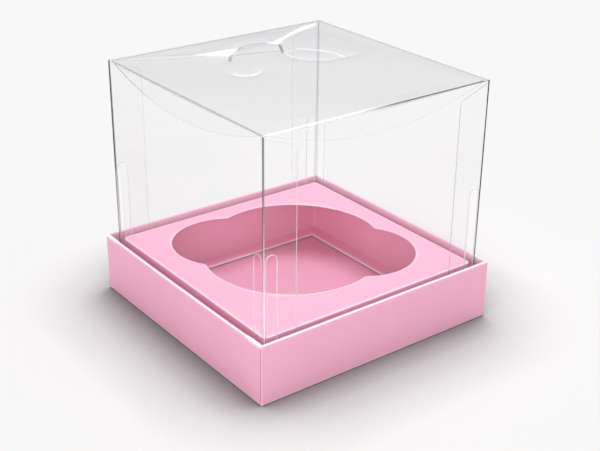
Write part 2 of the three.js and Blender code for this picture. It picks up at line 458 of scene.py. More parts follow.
def card_material(name, face_colour, worn_and_lit_colour, grain):
    """Pink card: the grain group on a Principled shader, paler by worn folds and painted light, and dark by
    'seam'.
    """
    bump, fibres = grain
    material, tree = new_material(name)
    card = add(tree, "ShaderNodeGroup", (-200, 0),
               node_tree=shared(bpy.data.node_groups, "Card grain", card_grain), Fibres=fibres,
               Colour=colour(face_colour), Worn_colour=colour(worn_and_lit_colour),
               Wear=mesh_value(tree, "wear_and_painted_light", (-450, -100)))
    # 'seam' is the seam line, and on the tray's floor painted shade
    seam = mesh_value(tree, "seam", (-200, 250))
    toned = mixed_colour(tree, (50, 100), "seam line and painted shade", seam, card, SEAM_AND_SHADE_COLOUR)
    relief = add(tree, "ShaderNodeBump", (50, -250), Strength=bump, Distance=0.00006,
                 Height=card.outputs["Height"])
    shader = add(tree, "ShaderNodeBsdfPrincipled", (250, 0), Base_Color=toned,
                 Roughness=card.outputs["Roughness"], Normal=relief)
    add(tree, "ShaderNodeOutputMaterial", (600, 0), Surface=shader)
    return material


def film_material(name, film):
    """Clear film: what is behind it through a faint tint, a mirror by Fresnel, scuffs and painted white
    highlights.

    The tint deepens by facing^EDGE_POWER where the sheet is seen edge on. Its 'shade' darkens it as painted
    shade, and its 'gleam' whitens it as a painted highlight. Neither the deeper tint nor the mirror takes
    from the light that falls on the card.
    """
    material, tree = new_material(name)
    facing = add(tree, "ShaderNodeLayerWeight", (-700, 200), Blend=0.5).outputs["Facing"]
    steep = maths(tree, "POWER", (-500, 200), facing, EDGE_POWER, label="edge on")
    path = add(tree, "ShaderNodeLightPath", (-900, 500)).outputs
    lighting = maths(tree, "ADD", (-800, 500), path["Is Shadow Ray"], path["Is Diffuse Ray"])
    seen = maths(tree, "SUBTRACT", (-700, 500), 1.0, lighting, label="1, and 0 for light on the card",
                 use_clamp=True)
    surface = add(tree, "ShaderNodeGroup", (-300, 100),
                  node_tree=shared(bpy.data.node_groups, "Film surface", film_surface),
                  Clear_colour=colour(film.tint), Edge_colour=colour(film.edge_tint),
                  Edge_share=maths(tree, "MULTIPLY", (-400, 250), seen, steep),
                  Shade=mesh_value(tree, "shade", (-700, 0)))
    through = add(tree, "ShaderNodeBsdfTransparent", (0, 150), Color=surface)
    relief = add(tree, "ShaderNodeBump", (-50, -250), Strength=0.4, Distance=0.0004,
                 Height=surface.outputs["Height"])
    mirror = add(tree, "ShaderNodeBsdfAnisotropic", (0, -50), Roughness=0.05, Color=WHITE, Normal=relief)
    fresnel = add(tree, "ShaderNodeFresnel", (-250, 400), IOR=1.45, Normal=relief)
    back = add(tree, "ShaderNodeNewGeometry", (-450, 500)).outputs["Backfacing"]
    share = map_range(tree, (0, 400), back, 0.0, 1.0, label="both faces mirror at the first",
                      To_Min=FACES_MIRROR, To_Max=0.0)
    mirroring = maths(tree, "MULTIPLY", (100, 550), share, seen)
    mirrored = maths(tree, "MULTIPLY", (150, 400), mirroring, fresnel, use_clamp=True)
    glossy = mixed_shader(tree, (220, 100), mirrored, through, mirror)
    # white shader for the scuffs and for the painted highlights that the 'gleam' value lays on
    white = add(tree, "ShaderNodeBsdfPrincipled", (0, -400), Base_Color=(0.95, 0.95, 0.97, 1), Roughness=0.4)
    haze = maths(tree, "MULTIPLY_ADD", (0, -250), surface.outputs["Haze"], film.scuffs,
                 mesh_value(tree, "gleam", (-700, -200)), label="haze share")
    add(tree, "ShaderNodeOutputMaterial", (600, 0), Surface=mixed_shader(tree, (420, 0), haze, glossy, white))
    return material


def film_edge_material(name, film):
    """The film's cut edge: a pale surface with a shine, seen partly through."""
    material, tree = new_material(name)
    through = add(tree, "ShaderNodeBsdfTransparent", (0, 150), Color=(0.95, 0.96, 0.97, 1))
    shader = add(tree, "ShaderNodeBsdfPrincipled", (200, -100), Base_Color=colour(film.cut_tint),
                 Roughness=0.15)
    mixed = mixed_shader(tree, (420, 0), CUT_SHARE, through, shader)
    add(tree, "ShaderNodeOutputMaterial", (600, 0), Surface=mixed)
    return material


def card_face(card):
    """The material of the card's face."""
    return shared(bpy.data.materials, "pink card", card_material, card.face_colour, card.worn_and_lit_colour,
                  FACE_GRAIN)


def card_cut(card):
    """The material of the card's cut edge."""
    return shared(bpy.data.materials, "pink card cut edge", card_material, card.cut_colour, card.cut_colour,
                  CUT_GRAIN)


def film_materials(film):
    """The materials of the film's faces and of its cut edge."""
    return [shared(bpy.data.materials, "clear film", film_material, film),
            shared(bpy.data.materials, "clear film cut edge", film_edge_material, film)]


# ---- Settings ----


def colour_setting(name, description, default):
    """A colour in a group of settings."""
    return bpy.props.FloatVectorProperty(name=name, description=description, default=default, min=0, max=1,
                                         size=3, subtype="COLOR")


def number_setting(name, description, default, low, high, **kind):
    """A number in a group of settings, with its range and perhaps its kind or unit."""
    return bpy.props.FloatProperty(name=name, description=description, default=default, min=low, max=high,
                                   **kind)


class CardSettings(bpy.types.PropertyGroup):
    """Sizes and colours of the pink card pieces."""

    face_colour: colour_setting("Card", "Colour of the card's face", (0.92, 0.44, 0.60))
    worn_and_lit_colour: colour_setting("Worn folds and painted light", "Colour of the card where a fold is rubbed and where light is painted", (1.0, 0.93, 0.965))
    cut_colour: colour_setting("Cut edge", "Colour of the card's cut edge", (1.0, 0.80, 0.88))
    thickness: number_setting(
        "Card thickness", "Thickness of the insert's card, in millimetres", 0.6, 0.2, 1.2)
    rim_bow: number_setting(
        "Rim bow", "How far the -X rim bows out at its middle, in millimetres", 0.7, 0, 3)
    platform_sag: number_setting(
        "Platform sag", "How far the platform dips at the hole's edge, in millimetres", 0.5, 0, 3)


class FilmSettings(bpy.types.PropertyGroup):
    """Sizes and colours of the clear film."""

    tint: colour_setting("Film tint", "What one face of the film lets through", (0.995, 0.995, 0.997))
    edge_tint: colour_setting(
        "Edge-on tint", "What the film lets through where it is seen edge on", (0.33, 0.34, 0.37))
    cut_tint: colour_setting("Cut edge", "Colour of the film's cut edge", (0.92, 0.93, 0.95))
    thickness: number_setting("Film thickness", "Thickness of the film, in millimetres", 0.3, 0.1, 0.8)
    scuffs: number_setting("Scuffs", "How much the film's scuffs show", 0.012, 0, 1, subtype="FACTOR")
    wave: number_setting("Wall wave", "How far the film walls wave in and out, in millimetres", 0.25, 0, 1)
    dent_depth: number_setting("Lid dents", "Depth of the dents in the lid, in millimetres", 1.1, 0, 3)


class StageSettings(bpy.types.PropertyGroup):
    """Floor, light and camera."""

    floor_colour: colour_setting("Floor", "Colour of the pale floor", (0.775, 0.767, 0.767))
    world_strength: number_setting("Room light", "Strength of the even light from all round", 0.60, 0, 2)
    key_power: number_setting(
        "Key lamp", "Power of the soft lamp above and behind the box", 9.9, 0, 50, unit="POWER")
    fill_power: number_setting(
        "Fill lamp", "Power of the low soft lamp in front of the box", 7.3, 0, 50, unit="POWER")
    lens: number_setting(
        "Lens", "Focal length of the camera", 68.2, 10, 300, subtype="DISTANCE_CAMERA", unit="CAMERA")


# ---- Pieces ----


def side_weight(points, side):
    """How much each point belongs to a wall: its share of the way out to that wall, to the 12th power."""
    reach = np.clip(points[..., 0] * side[0] + points[..., 1] * side[1], 0, None)
    far = np.maximum(np.abs(points[..., 0]), np.abs(points[..., 1])) + 1e-9
    return (reach / far) ** 12


def bow(points, side, amount, top):
    """Pushes one wall out: amount times (height / top)^1.5 times 1 - (along / half)^2."""
    along = points[..., 1] * side[0] - points[..., 0] * side[1]
    lift = np.clip(points[..., 2] / top, 0, 1) ** 1.5
    push = amount * lift * np.clip(1 - (along / TRAY_HALF) ** 2, 0, 1) * side_weight(points, side)
    points[..., 0] += side[0] * push
    points[..., 1] += side[1] * push


def tray_turns():
    """Places round the tray, with close pairs where a corner tab or a seam starts and ends."""
    half = TRAY_HALF - TRAY_CORNER
    step = 0.04
    tab = half - TAB_LENGTH
    seam = half - SEAM_WIDTH
    along = spread((-half, 1), (-seam, 1), (-seam + step, 3), (-tab - step, 1), (-tab, 24), (tab, 1),
                   (tab + step, 3), (seam - step, 1), (seam, 1), (half, 0))
    return all_turns(along, TRAY_HALF, TRAY_CORNER, 6)


def tray_section():
    """The tray's closed section, from the floor's underside round the rim and back to the floor's top.

    The rim is two half circles about one centre, radius half the rim's width outside and half the panel's
    gap inside. Folds at the foot are quarter circles. Also gives each point's place in the list of rows.
    """
    def upright(half, start, end, count):
        return np.stack([np.full(count, half), np.linspace(start, end, count)], -1)

    card = TRAY_CARD
    outer, inner = card + PANEL_GAP / 2, PANEL_GAP / 2
    rim = (TRAY_HALF - outer, TRAY_HEIGHT - outer)
    foot = (TRAY_HALF - FOOT_FOLD, FOOT_FOLD)
    floor, ring = FLOOR_RINGS
    panel = TRAY_HALF - 2 * outer
    low, high = FOLD_SPACE, TRAY_HEIGHT - RIM_SPACE
    rows = [
        np.array([[floor, 0.0], [ring, 0.0]]),
        arc(foot, FOOT_FOLD, -np.pi / 2, 0, 5),
        upright(TRAY_HALF, low, TRAY_HEIGHT - FOLD_SPACE, 9),
        arc(rim, outer, 0, np.pi, 14),
        upright(panel, high, low, 7),
        np.array([[panel, card + PANEL_LIFT], [panel + card, card + PANEL_LIFT]]),
        upright(panel + card, low, high, 6),
        arc(rim, inner, np.pi, 0, 8),
        upright(TRAY_HALF - card, high, low, 7),
        arc(foot, FOOT_FOLD - card, 0, -np.pi / 2, 4),
        np.array([[ring, card], [floor, card]]),
    ]
    kinds = np.concatenate([np.full(len(r), i) for i, r in enumerate(rows)])
    return np.concatenate(rows), kinds


def build_tray(card):
    """The folded tray: its section carried round a square, with corner tabs, seams and a bowed rim."""
    turns, along = tray_turns()
    section, kinds = tray_section()
    points = carry(section, turns, np.maximum(0.25, TRAY_CORNER - (TRAY_HALF - section[:, 0])))
    half = TRAY_HALF - TRAY_CORNER
    along = np.abs(along)
    x_sides = np.isin(np.floor(turns), (1, 3)) & (along <= half)
    out = section - np.array([TRAY_HALF - 1.0, TRAY_HEIGHT - 1.0])
    out /= np.maximum(np.linalg.norm(out, axis=1, keepdims=True), 1e-9)
    rim = (kinds == RIM).astype(float)[:, None]
    tab = (x_sides & (along >= half - TAB_LENGTH - 0.01)).astype(float)[None, :]
    _, facing = square_path(turns)
    lift = TAB_THICKNESS * rim * tab
    points[..., :2] += lift[..., None] * out[:, None, :1] * facing[None]
    points[..., 2] += lift * np.clip(out[:, 1:2], 0, None)
    seam = (x_sides & (half - along < SEAM_WIDTH + 0.001)).astype(float)
    outside = ((kinds == OUTER_WALL) & (section[:, 0] > TRAY_HALF - 0.01)).astype(float)[:, None]
    points[..., :2] -= (SEAM_DEPTH * outside * seam)[..., None] * facing[None]
    for side, share in BOWS:
        bow(points, side, share * card.rim_bow, TRAY_HEIGHT)
    x, y, z = points[..., 0], points[..., 1], points[..., 2]
    ripple = RIPPLE * np.sin(x / 9 + 1.3) * np.sin(y / 11) * np.sin(z / 7)
    points[..., :2] += ripple[..., None] * facing[None]
    # the rim's outer top turns paler: worn card, and a painted highlight along the rolled rim
    crown = bump_at(np.arctan2(out[:, 1], out[:, 0]), 0.85, 0.55) * rim[:, 0]
    foot = bump_at(section[:, 1], 0.6, 0.5) * (section[:, 0] > TRAY_HALF - 1.5)
    # painted light: the inner panel, shaded deep in the gap by the rim, is made paler
    inner = (section[:, 0] < TRAY_HALF - 1.6) & (section[:, 1] > 8) & (section[:, 1] < TRAY_HEIGHT - 0.7)
    wear_and_painted_light = np.clip(crown + FOOT_WEAR * foot + PANEL_PAINTED_LIGHT * inner, 0, 1)[:, None] * np.ones(len(turns))
    wear_and_painted_light = np.clip(wear_and_painted_light + TAB_WEAR * lift / TAB_THICKNESS, 0, 1)
    # the dark seam lines, and painted shade over the whole floor inside, under the insert
    line = SEAM_LINE * seam * outside + FLOOR_PAINTED_SHADE * (kinds == FLOOR_TOP)[:, None]
    rows, columns = points.shape[:2]
    caps = [np.arange(columns)[::-1], (rows - 1) * columns + np.arange(columns)]
    piece = mesh_piece("tray_card", points, grid_faces(rows, columns, True), caps,
                       {"wear_and_painted_light": wear_and_painted_light, "seam": line})
    sharpen(piece, CARD_SHARP)
    return piece


def hole_reach(angles):
    """Distance from the hole's centre to its edge: the farthest of the four circles along each direction.

    A circle at c with radius r is left at c.d + sqrt(r^2 - |c|^2 + (c.d)^2) along the direction d.
    """
    way = np.stack([np.cos(angles), np.sin(angles)], -1)
    reach = []
    for centre, radius in LOBES:
        centre = np.array(centre)
        along = way @ centre
        inside = radius ** 2 - centre @ centre + along ** 2
        reach.append(np.where(inside > 0, along + np.sqrt(np.maximum(inside, 0)), 0))
    reach = np.array(reach)
    return reach.max(0), reach.argmax(0)


def insert_turns():
    """Places round the insert: an even set, and exactly those that face a cusp of the hole."""
    half = INSERT_HALF - INSERT_FOLD
    fine = np.linspace(0, 4, 16001)[:-1]
    ring = carry([(half, 0.0)], fine, INSERT_CORNER - INSERT_FOLD)[0, :, :2] - HOLE_CENTRE
    lobe = hole_reach(np.arctan2(ring[:, 1], ring[:, 0]))[1]
    cusps = fine[lobe != np.roll(lobe, 1)]
    even, _ = all_turns(np.linspace(-half, half, 57), INSERT_HALF, INSERT_FOLD, 8)
    away = np.abs(even[:, None] - cusps[None, :]).min(1) > 0.004
    return np.sort(np.concatenate([even[away], cusps]))


def build_insert(card):
    """The folded insert: flange, skirt and platform up to the lobed hole, as one sheet.

    Rows run from the flange's free edge out along the floor, up the skirt and in over the platform,
    where a row is a straight mix of the fold's ring and the hole's edge.
    """
    turns = insert_turns()
    r = INSERT_FOLD
    foot = (INSERT_HALF - r, INSERT_FLOOR + r)
    top = (INSERT_HALF - r, INSERT_TOP - r)
    flange = np.stack([np.linspace(INSERT_HALF - FLANGE_WIDTH, INSERT_HALF - r, 5)[:-1],
                       np.full(4, INSERT_FLOOR)], -1)
    skirt = np.stack([np.full(8, INSERT_HALF),
                      np.linspace(INSERT_FLOOR + FOLD_SPACE, INSERT_TOP - FOLD_SPACE, 8)], -1)
    section = np.concatenate([flange, arc(foot, r, -np.pi / 2, 0, 6), skirt, arc(top, r, 0, np.pi / 2, 6)])
    folded = carry(section, turns, np.clip(INSERT_CORNER - (INSERT_HALF - section[:, 0]), 0.4, None))
    fold = folded[-1, :, :2]
    way = fold - HOLE_CENTRE
    angle = np.arctan2(way[:, 1], way[:, 0])
    edge = HOLE_CENTRE + hole_reach(angle)[0][:, None] * np.stack([np.cos(angle), np.sin(angle)], -1)
    share = np.linspace(0, 1, PLATFORM_ROWS + 1)[1:, None, None]
    flat = fold[None] * (1 - share) + edge[None] * share
    droop = card.platform_sag * share[..., 0] ** 2 * (0.35 + 0.65 * np.sin(2 * angle + 0.4)[None] ** 2)
    flat = np.concatenate([flat, (INSERT_TOP - droop)[..., None]], -1)
    points = np.concatenate([folded, flat])
    # the top fold's crest turns paler: worn card, and a painted highlight along it
    crest = bump_at(np.arctan2(section[:, 1] - top[1], section[:, 0] - top[0]), np.pi / 4, 0.6)
    crest *= section[:, 1] > INSERT_TOP - r - 0.01
    # painted light: the skirts, shaded in the gap by the tray, are made a little paler
    upright = (section[:, 0] > INSERT_HALF - 0.01) & (section[:, 1] < INSERT_TOP - r)
    wear_and_painted_light = np.concatenate([0.8 * crest + 0.05 * upright, np.zeros(PLATFORM_ROWS)])
    wear_and_painted_light[[0, -1]] = 0.9, 0.6
    wear_and_painted_light = wear_and_painted_light[:, None] * np.ones(len(turns))
    rows, columns = points.shape[:2]
    piece = mesh_piece("insert_card", points, grid_faces(rows, columns, True), (), {"wear_and_painted_light": wear_and_painted_light})
    sharpen(piece, CARD_SHARP)
    thicken(piece, card.thickness)
    return piece


def film_push(across, height, phase):
    """How far a film wall stands out of its plane: slow waves that die out at the folds, foot and top."""
    size = np.cos(np.clip(across / BOX_HALF, -1, 1) * np.pi / 2)
    size = size * np.clip(1 - height / WAVE_END, 0, 1) * np.clip(height / WAVE_RISE, 0, 1)
    return size * (np.sin(height / 19 + phase) + 0.6 * np.sin(across / 17 + 2 * phase))


def slot_heights(across, low, high):
    """Rows of a film wall that follow its slots: from low to their lower ends, their upper ends, and high.

    At a slot the ends are half circles: middle height minus or plus sqrt(radius^2 - (across - middle)^2).
    A row lies EDGE_BAND outside each end and under the top, so that an edge's own line stays narrow.
    """
    middle = (SLOT_INNER + SLOT_OUTER) / 2
    curve = np.sqrt(np.maximum(SLOT_RADIUS ** 2 - (np.abs(across) - middle) ** 2, 0))
    lower = SLOT_BOTTOM + SLOT_RADIUS - curve
    upper = SLOT_TOP - SLOT_RADIUS + curve
    high = high + 0 * across
    return spread((low + 0 * across, 3), (lower - EDGE_BAND, 1), (lower, 14), (upper, 1),
                  (upper + EDGE_BAND, 13), (high - EDGE_BAND, 1), (high, 0))


def slot_columns():
    """Distances along a wall, close together across each slot and beside it."""
    ring = (SLOT_INNER + SLOT_OUTER) / 2 + SLOT_RADIUS * np.cos(np.linspace(np.pi, 0, 15))
    ring[0], ring[-1] = SLOT_INNER, SLOT_OUTER
    side = np.append(ring, SLOT_OUTER + EDGE_BAND)
    reach = SLOT_INNER - EDGE_BAND
    return np.concatenate([-side[::-1], np.linspace(-reach, reach, 25), side])


def in_slot(across):
    """True where a distance along a wall lies across a slot, its edges included."""
    return (np.abs(across) > SLOT_INNER - 0.01) & (np.abs(across) < SLOT_OUTER + 0.01)


def outside_slots(quads, across, columns, start=0):
    """The quads that don't lie in a slot: a quad is cut out between the slot's rows and its columns."""
    row, column = quads[:, 0] // columns - start, quads[:, 0] % columns
    middle = np.abs((across + np.roll(across, -1)) / 2)[column]
    cut = (row >= SLOT_ROWS[0]) & (row < SLOT_ROWS[1]) & (middle > SLOT_INNER) & (middle < SLOT_OUTER)
    return quads[~cut]


def slot_outline(across, rows):
    """1 at the points on a slot's edge and 0 elsewhere."""
    row = np.arange(rows)[:, None]
    ends = ((row == SLOT_ROWS[0]) | (row == SLOT_ROWS[1])) & in_slot(across)
    edge = (np.abs(np.abs(across) - SLOT_INNER) < 0.01) | (np.abs(np.abs(across) - SLOT_OUTER) < 0.01)
    sides = (row >= SLOT_ROWS[0]) & (row <= SLOT_ROWS[1]) & edge
    return (ends | sides).astype(float)


def fold_marks(quarter, arc_share, across):
    """Painted highlight (gleam) and painted shade across each upright fold, as bells over the share of the
    fold's arc.

    The wall's last column before a fold carries the painted shade beside it.
    """
    gleam = np.zeros_like(arc_share)
    shade = np.zeros_like(arc_share)
    on_arc = (arc_share > 0) & (arc_share < 1)
    for q, (light, light_at, dark, dark_at, dark_width, _) in enumerate(FOLD_PAINTED_LIGHT):
        here = (quarter == q) & on_arc
        gleam += here * light * bump_at(arc_share, light_at, FOLD_GLEAM_WIDTH)
        shade += here * dark * bump_at(arc_share, dark_at, dark_width)
    at_end = (np.abs(across) > BOX_HALF - WALL_FOLD - 0.01) & ~on_arc
    fold = (quarter - (across < 0)).astype(int) % 4
    return gleam, np.where(at_end, FOLD_PAINTED_LIGHT[fold, 5], shade)


def near_edge_marks(share):
    """Painted highlight and painted shade along the box's near top edge: bright at its start and dark from
    its middle on.
    """
    return 1 - smooth(share, 0.3, 0.55), smooth(share, 0.35, 0.6)


def top_marks(quarter, across):
    """Painted highlight (gleam) and painted shade along the walls' cut top edges, by the wall."""
    near, left = quarter == 0, quarter == 3
    gleam, shade = near_edge_marks((across / BOX_HALF + 1) / 2)
    return np.where(near, gleam, np.where(left, 0.4, 0.1)), np.where(near, shade, np.where(left, 0.6, 0.15))


def build_clear_box(film):
    """The clear box: bottom and four walls of one sheet with slots, and four corner flaps behind walls.

    The upright folds' painted shade grows with the height, and the near one turns from a painted highlight
    at its foot to painted shade.
    """
    half = BOX_HALF - WALL_FOLD
    side = np.concatenate([[-half, FOLD_BAND - half], slot_columns(), [half - FOLD_BAND, half]])
    turns, across = all_turns(side, BOX_HALF, WALL_FOLD, 10)
    quarter = np.floor(turns)
    arc_share = np.clip((turns - quarter - SIDE_SHARE) / (1 - SIDE_SHARE), 0, 1)
    hinge = (quarter == 1) & (np.abs(across) <= half)
    foot = BOX_FLOOR + WALL_FOLD
    heights = slot_heights(across, foot, np.where(hinge, HINGE_TOP, BOX_TOP))
    centre, out = square_path(turns)
    walls = np.concatenate([np.broadcast_to(half * centre + WALL_FOLD * out, heights.shape + (2,)),
                            heights[..., None]], -1)
    push = film.wave * film_push(across[None], heights, quarter[None] * WAVE_PHASE)
    walls[..., :2] += push[..., None] * out[None]
    fold = carry(arc((half, foot), WALL_FOLD, -np.pi / 2, 0, 5)[:-1], turns, WALL_FOLD)
    floor = carry([(BOX_HALF - FLOOR_INSET, BOX_FLOOR)], turns, WALL_FOLD)
    points = np.concatenate([floor, fold, walls])
    rows, columns = points.shape[:2]
    start = len(floor) + len(fold)
    quads = outside_slots(grid_faces(rows, columns, True), across, columns, start)
    # painted highlight (gleam) and painted shade: on the folds, along the slots' edges and along the top edge
    gleam, shade = (np.tile(mark, (rows, 1)) for mark in fold_marks(quarter, arc_share, across))
    gleam[:len(floor)] = shade[:len(floor)] = 0
    gleam[start:] += SLOT_GLEAM * slot_outline(across, rows - start)
    near_fold = (quarter == 3) & (arc_share > 0) & (arc_share < 1)
    shade[start:] *= 0.55 + 0.45 * smooth(heights, *SHADE_HEIGHTS)
    shade[start:] += near_fold * 0.75 * smooth(heights, *TURN_HEIGHTS)
    gleam[start:] *= 1 - near_fold * 0.7 * smooth(heights, *TURN_HEIGHTS)
    for mark, value in zip((gleam, shade), top_marks(quarter, across)):
        mark[-1] = np.maximum(mark[-1], value)
    parts = [(points, quads, gleam, shade)]
    parts += [corner_flap(film, q, end) for q in (0, 2) for end in (-1, 1)]
    merged, faces, values = joined(parts)
    ring = floor[0, ::-1]
    ring = ring[np.linalg.norm(ring - np.roll(ring, 1, axis=0), axis=1) > 1e-3]
    place = np.argmin(np.abs(merged[None] - ring[:, None]).sum(-1), 1)
    piece = mesh_piece("clear_box_film", merged, faces, [place], values)
    sharpen(piece, FILM_SHARP)
    thicken(piece, film.thickness)
    return piece


def corner_flap(film, quarter, end):
    """A glued flap behind a wall: full height at the corner, its top sloping down to its free edge."""
    free = BOX_HALF - FLAP_WIDTH
    slots = slot_columns()
    ring = slots[slots >= SLOT_INNER - 0.01]
    edge = spread((free, 1), (free + EDGE_BAND, 3), (free + FLAP_NOSE, 7), (SLOT_INNER - EDGE_BAND, 0))
    across = np.concatenate([edge, ring, [BOX_HALF - FLAP_INSET]])
    top = BOX_TOP - FLAP_START - FLAP_DROP * (BOX_HALF - across) / FLAP_WIDTH
    nose = np.clip((free + FLAP_NOSE - across) / FLAP_NOSE, 0, 1)
    top = top - FLAP_NOSE * (1 - np.sqrt(1 - nose ** 2))
    heights = slot_heights(across, BOX_FLOOR + FLAP_LIFT, top)
    signed = end * across
    rows, columns = heights.shape
    gleam = SLOT_GLEAM * slot_outline(across, rows)
    shade = np.zeros_like(gleam)
    # painted highlight and painted shade along the flap's free edge and its top
    light, dark = FLAP_EDGES[quarter, end]
    gleam[:, 0] = gleam[-1] = light
    shade[:, 0] = shade[-1] = dark
    if end < 0:
        signed, heights, gleam, shade = signed[::-1], heights[:, ::-1], gleam[:, ::-1], shade[:, ::-1]
    out = BOX_HALF - film.thickness - FLAP_GAP
    push = film.wave * film_push(signed[None], heights, quarter * WAVE_PHASE)
    points = np.stack([np.broadcast_to(signed, heights.shape), -(out + push), heights], -1)
    if quarter == 2:
        points[..., :2] *= -1
    return points, outside_slots(grid_faces(rows, columns), signed, columns), gleam, shade


def tuck_reach(along, low, high):
    """How deep a tuck flap's arc reaches: a circle through both ends that is TUCK_DEPTH deep between."""
    half, middle = (high - low) / 2, (high + low) / 2
    radius = (half ** 2 + TUCK_DEPTH ** 2) / (2 * TUCK_DEPTH)
    return TUCK_DEPTH - radius + np.sqrt(np.maximum(radius ** 2 - (along - middle) ** 2, 0))


def lid_lines():
    """The lid's marks, in millimetres on the lid seen from above: its dents and crease, and the painted
    highlights, painted reflections and painted shade along them.

    Gleams (painted highlights) and shades (painted shade) are lines with (points, half width, strength),
    slivers (painted reflections) are closed outlines, and the crease has its points and its half width.
    """
    gleams = [
        ([(-32.9, 14.4), (-30.8, 8.3), (-25.3, 6.0), (-18.7, 8.9)], 0.8, 0.7),
        ([(26.5, 33.4), (32.2, 26.7), (36.8, 20.9), (39.9, 12.2), (40.5, 5.5)], 0.8, 0.55),
        ([(15.8, 33.2), (13.8, 24.5), (14.5, 17.5), (19.3, 10.9), (28.0, 4.6), (36.3, 5.2), (46.6, 4.5)],
         0.7, 0.3),
    ]
    slivers = [
        [(-33.1, 59.1), (-24.1, 57.5), (-0.7, 55.8), (-11.3, 47.4), (-16.5, 44.0), (-25.8, 51.7)],
        [(17.8, 54.8), (22.6, 47.7), (32.5, 54.6), (42.3, 59.7), (53.9, 64.5), (65.0, 67.8), (73.1, 72.6),
         (69.4, 73.5), (59.4, 71.8), (45.3, 64.9), (33.1, 58.0), (23.3, 54.1)],
    ]
    shades = [
        ([(-20.8, 36.7), (-12.0, 49.1), (-0.7, 55.8)], 0.9, 0.3),
        ([(22.8, 46.5), (15.1, 32.4)], 0.8, 0.45),
        ([(-0.7, 55.8), (5.6, 57.9), (11.7, 57.0), (17.8, 54.8)], 0.8, 0.14),
        ([(-14.2, 43.2), (-6.1, 43.2), (1.5, 40.3), (8.9, 35.6), (16.5, 35.5)], 0.7, 0.1),
    ]
    crease = ([(-79.3, 79.3), (-56.3, 70.6), (-33.1, 59.1), (-16.5, 44.0), (8.9, 35.6), (26.5, 33.4),
               (36.8, 20.9), (40.5, 5.5)], 2.6)
    return gleams, slivers, shades, crease


def rounded(line):
    """A line with its corners cut twice, each to a quarter of the pieces before and after it."""
    line = np.array(line, float)
    for _ in range(2):
        cuts = np.stack([0.75 * line[:-1] + 0.25 * line[1:], 0.25 * line[:-1] + 0.75 * line[1:]], 1)
        line = np.concatenate([line[:1], cuts.reshape(-1, 2), line[-1:]])
    return line


def line_distance(xy, line):
    """Distance from each point to a line of straight pieces: the least |p - a - t (b - a)|, t in 0..1."""
    line = np.array(line, float)
    start, way = line[:-1], np.diff(line, axis=0)
    rel = xy[..., None, :] - start
    t = np.clip((rel * way).sum(-1) / (way ** 2).sum(-1), 0, 1)
    return np.linalg.norm(rel - t[..., None] * way, axis=-1).min(-1)


def inside_outline(xy, outline):
    """1 inside a closed outline and 0 outside, by counting its sides crossed along +X."""
    a = np.array(outline, float)
    b = np.roll(a, -1, axis=0)
    y = xy[..., 1, None]
    crosses = (a[:, 1] > y) != (b[:, 1] > y)
    rise = np.where(b[:, 1] == a[:, 1], 1, b[:, 1] - a[:, 1])
    x = a[:, 0] + (y - a[:, 1]) * (b[:, 0] - a[:, 0]) / rise
    return (crosses & (xy[..., 0, None] < x)).sum(-1) % 2


def lid_marks(xy):
    """Height, painted highlight (gleam) and painted shade over the lid: gaussians of the distance to its
    creases and dents.

    The height falls along a dent, rises along the crease, and fades out at the lid's edge with the painted
    marks.
    """
    def drawn(lines):
        return sum(strength * bump_at(line_distance(xy, rounded(line)), 0, width)
                   for line, width, strength in lines)

    gleams, slivers, shades, crease = lid_lines()
    rim = np.clip((LID_SIDE - 2 - np.abs(xy).max(-1)) / 8, 0, 1)
    gleam, shade = drawn(gleams), drawn(shades)
    for outline in slivers:
        far = line_distance(xy, outline + outline[:1])
        inside = np.where(inside_outline(xy, outline) > 0, far, -far)
        gleam = gleam + SLIVER_GLEAM * np.clip(0.5 + inside, 0, 1)
    dent = 0.3 * sum(bump_at(line_distance(xy, line), 0, 5.0) for line, _, _ in gleams + shades)
    ridge = np.exp(-line_distance(xy, crease[0]) / crease[1])
    slow = 0.35 * np.sin(xy[..., 0] / 23 + 0.6) * np.sin(xy[..., 1] / 31 + 0.2)
    # painted highlight along the lid's near fold, fading out towards +X
    near_edge = (1 - smooth(xy[..., 0], -20, 15)) * bump_at(xy[..., 1], LID_FOLD - LID_SIDE, 0.9)
    return rim * (0.3 * ridge - 0.8 * dent + slow), gleam * (rim > 0) + 0.9 * near_edge, shade * (rim > 0)


def tuck_flap(along, low, high, turn):
    """A tuck flap as rows from its fold: (out, down) for a sheet that bends, then runs straight.

    A place s along the sheet has turned by a = min(s / fold radius, turn). It stands r sin a out and
    r (1 - cos a) down, and past the bend it goes on by the rest of s along the turned direction.
    """
    bend = LID_FOLD * turn
    length = np.maximum(tuck_reach(along, low, high), 0.35) + 0.4
    share = np.concatenate([np.linspace(0, 1, BEND_ROWS), np.ones(8)])
    rest = np.maximum(length - bend, 0.01)
    near_edge = np.maximum(rest - EDGE_BAND, 0.5 * rest)
    past = np.concatenate([np.zeros((BEND_ROWS, len(rest))), np.linspace(0, 1, 8)[1:, None] * near_edge,
                           rest[None]])
    a = np.minimum(length, bend)[None] * share[:, None] / LID_FOLD
    return LID_FOLD * np.sin(a) + past * np.cos(a), LID_FOLD * (1 - np.cos(a)) + past * np.sin(a)


def flap_marks(shape, at_fold, at_edge):
    """A painted mark, highlight or shade, over a tuck flap's rows: a bell across the fold's bend, and a value
    on the free edge's row.
    """
    mark = np.zeros(shape)
    mark[:BEND_ROWS] = bump_at(np.arange(BEND_ROWS)[:, None], 3.5, 2.0) * at_fold
    mark[-1] = at_edge
    return mark


def lid_flap(along, low, high, turn, place, gleam, shade):
    """One tuck flap as a part of the lid: place gives its X and Y, and each painted mark is (at fold, at
    edge).
    """
    out, down = tuck_flap(along, low, high, math.radians(turn))
    points = np.stack([*np.broadcast_arrays(*place(along, out)), BOX_TOP - down], -1)
    return points, grid_faces(*out.shape), flap_marks(out.shape, *gleam), flap_marks(out.shape, *shade)


